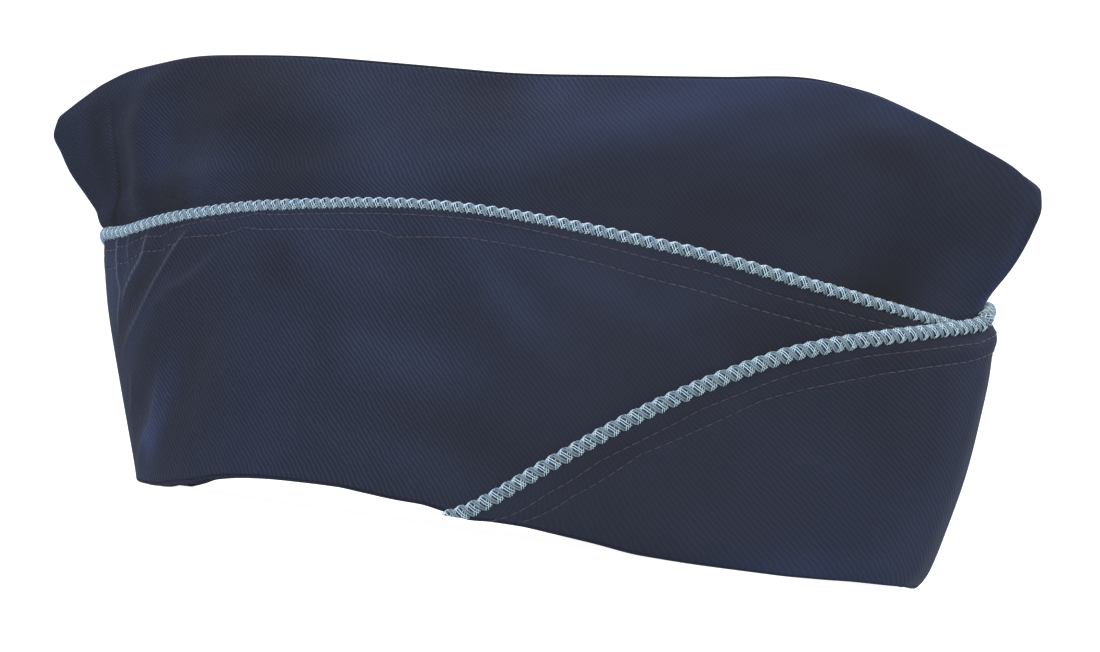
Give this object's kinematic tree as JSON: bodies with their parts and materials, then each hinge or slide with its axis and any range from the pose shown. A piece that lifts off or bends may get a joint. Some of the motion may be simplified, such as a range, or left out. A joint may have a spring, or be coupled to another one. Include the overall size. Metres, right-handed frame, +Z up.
{
  "type": "garrison cap",
  "caption": "Folding side cap: a crown pinched to a beak at each end, a sunk top fold, and turned-up side curtains that lap at the front and are edged with braided piping.",
  "frame": {"origin": "under the middle of the cap's length and width, on the surface that the hem rests on", "axes": "+X to the front of the cap along its length, +Y to the wearer's left, +Z up"},
  "size_m": [0.299, 0.1602, 0.1213],
  "materials": {
    "cloth": "matt navy gabardine with a diagonal twill and a faint sheen",
    "piping": "pale blue-grey braided cord"
  },
  "bodies": {
    "root": {"crown_right": "cloth", "crown_left": "cloth", "crown_top": "cloth", "curtain_right": "cloth", "curtain_left": "cloth", "piping_right": "piping", "piping_left": "piping"}
  },
  "joints": []
}
